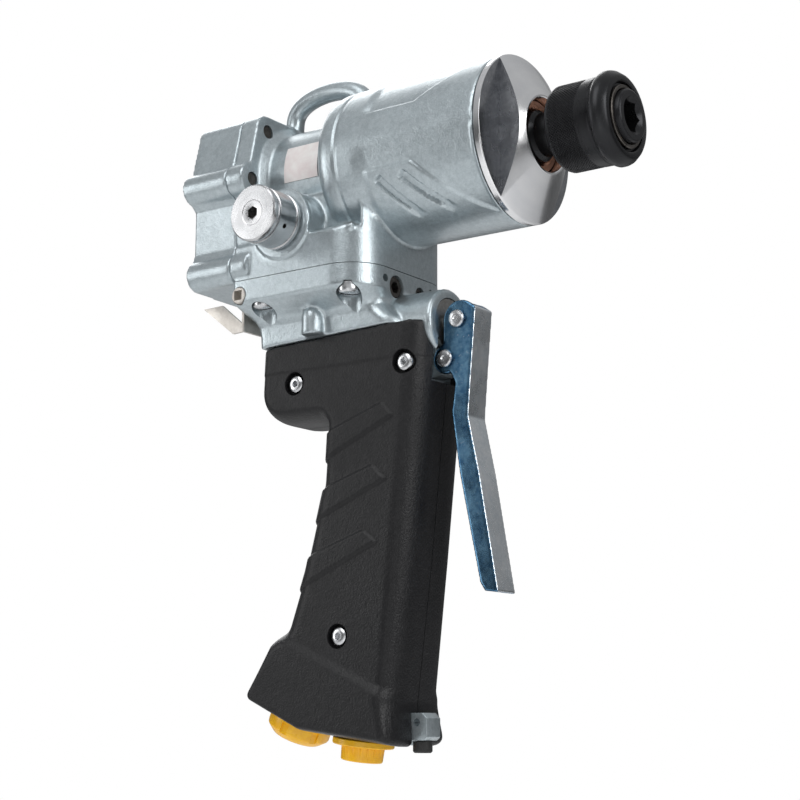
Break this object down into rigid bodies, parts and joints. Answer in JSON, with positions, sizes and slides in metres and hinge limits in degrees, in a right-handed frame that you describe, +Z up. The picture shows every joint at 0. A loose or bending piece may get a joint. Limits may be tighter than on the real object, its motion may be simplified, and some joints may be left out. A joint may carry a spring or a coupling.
{
  "type": "impact wrench",
  "caption": "Pistol-grip hydraulic impact wrench with a quick-change hex chuck, squeeze lever, cross reversing spool, hanger loop and capped hose ports.",
  "frame": {"origin": "centre of the rear cover's flat rear face, on the drive axis", "axes": "+X along the drive axis to the chuck, +Y to the tool's left, +Z up, away from the grip"},
  "size_m": [0.1908, 0.105, 0.2793],
  "materials": {
    "cast_silver": "cast, with a satin blue-grey metallic paint",
    "bright_steel": "bright polished",
    "black_oxide": "black oxide, lightly oiled",
    "bronze": "dull bronze",
    "black_plastic": "fine-grained matte",
    "blue_zinc": "bright zinc plate with a blue cast",
    "yellow_plastic": "semi-gloss moulded",
    "ground_steel": "machined",
    "label_film": "satin film",
    "rubber": "matte"
  },
  "bodies": {
    "housing": {"main_housing": "cast_silver", "nose_cap": "bright_steel", "nose_bush": "bronze", "rear_cover": "cast_silver", "cover_screw_1": "black_oxide", "cover_screw_2": "black_oxide", "cover_screw_3": "black_oxide", "cover_screw_4": "black_oxide", "cover_screw_5": "black_oxide", "cover_screw_6": "black_oxide", "body_screw_1": "ground_steel", "body_screw_2": "ground_steel", "body_screw_3": "ground_steel", "body_screw_4": "ground_steel", "neck_label": "label_film", "shaft_bush": "bronze", "idler_bush": "bronze", "wear_plate": "bronze", "shaft_seal": "rubber", "shaft_bearing": "ground_steel", "handle_casting": "cast_silver", "gallery_plug_left": "ground_steel", "gallery_plug_right": "ground_steel", "square_plug": "ground_steel", "rear_tab": "ground_steel", "grip_right": "black_plastic", "grip_left": "black_plastic", "grip_screw_1": "bright_steel", "grip_screw_2": "bright_steel", "grip_screw_3": "bright_steel", "grip_nut_1": "bright_steel", "grip_nut_2": "bright_steel", "grip_nut_3": "bright_steel", "lever_pivot_pin": "bright_steel", "valve_gland": "ground_steel", "valve_spring": "bright_steel", "foot_bumper": "rubber"},
    "rotor": {"drive_gear": "ground_steel", "drive_shaft": "ground_steel", "hammer_cage": "ground_steel", "hammer_rear": "ground_steel", "hammer_front": "ground_steel", "hammer_pin_top": "ground_steel", "hammer_pin_bottom": "ground_steel"},
    "idler": {"idler_gear": "ground_steel"},
    "anvil": {"anvil": "black_oxide", "chuck_ball": "bright_steel", "chuck_spring": "bright_steel", "chuck_washer": "black_oxide", "chuck_retaining_ring": "black_oxide"},
    "sleeve": {"chuck_sleeve": "black_oxide"},
    "reverser": {"reversing_spool": "ground_steel", "reversing_knob_right": "bright_steel", "reversing_knob_left": "bright_steel"},
    "trigger": {"trigger_lever": "blue_zinc", "lever_link_pin": "bright_steel"},
    "valve": {"valve_spool": "ground_steel"},
    "return_plug": {"return_port_plug": "yellow_plastic"},
    "pressure_plug": {"pressure_port_plug": "yellow_plastic"}
  },
  "joints": [
    {"name": "hammer_spin", "type": "hinge", "parent": "housing", "child": "rotor", "pos_m": [0.0774, 0, 0], "axis": [1, 0, 0], "continuous": true},
    {"name": "idler_spin", "type": "hinge", "parent": "housing", "child": "idler", "pos_m": [0.0084, 0, -0.024], "axis": [1, 0, 0], "continuous": true},
    {"name": "anvil_spin", "type": "hinge", "parent": "housing", "child": "anvil", "pos_m": [0.1541, 0, 0], "axis": [1, 0, 0], "continuous": true},
    {"name": "sleeve_slide", "type": "slide", "parent": "anvil", "child": "sleeve", "axis": [-1, 0, 0], "range_m": [0, 0.0045], "stiffness_N_per_m": 1500, "springref_m": -0.004, "deforming": ["chuck_spring"]},
    {"name": "reverser_slide", "type": "slide", "parent": "housing", "child": "reverser", "axis": [0, -1, 0], "range_m": [0, 0.006]},
    {"name": "trigger_hinge", "type": "hinge", "parent": "housing", "child": "trigger", "pos_m": [0.1114, 0, -0.083], "axis": [0, 1, 0], "range_deg": [0, 14], "stiffness_Nm_per_rad": 2, "springref_deg": -11.46},
    {"name": "valve_slide", "type": "slide", "parent": "housing", "child": "valve", "axis": [1, 0, 0], "range_m": [0, 0.0036], "deforming": ["valve_spring"]},
    {"name": "return_plug_slide", "type": "slide", "parent": "housing", "child": "return_plug", "axis": [-0.4126, 0, -0.9109], "range_m": [0, 0.03]},
    {"name": "pressure_plug_slide", "type": "slide", "parent": "housing", "child": "pressure_plug", "axis": [-0.1301, 0, -0.9915], "range_m": [0, 0.03]}
  ],
  "couplings": [
    {"joint": "idler_spin", "follows": "hammer_spin", "ratio": -1},
    {"joint": "anvil_spin", "follows": "hammer_spin", "ratio": 1},
    {"joint": "valve_slide", "follows": "trigger_hinge", "m_per_rad": 0.01418}
  ]
}
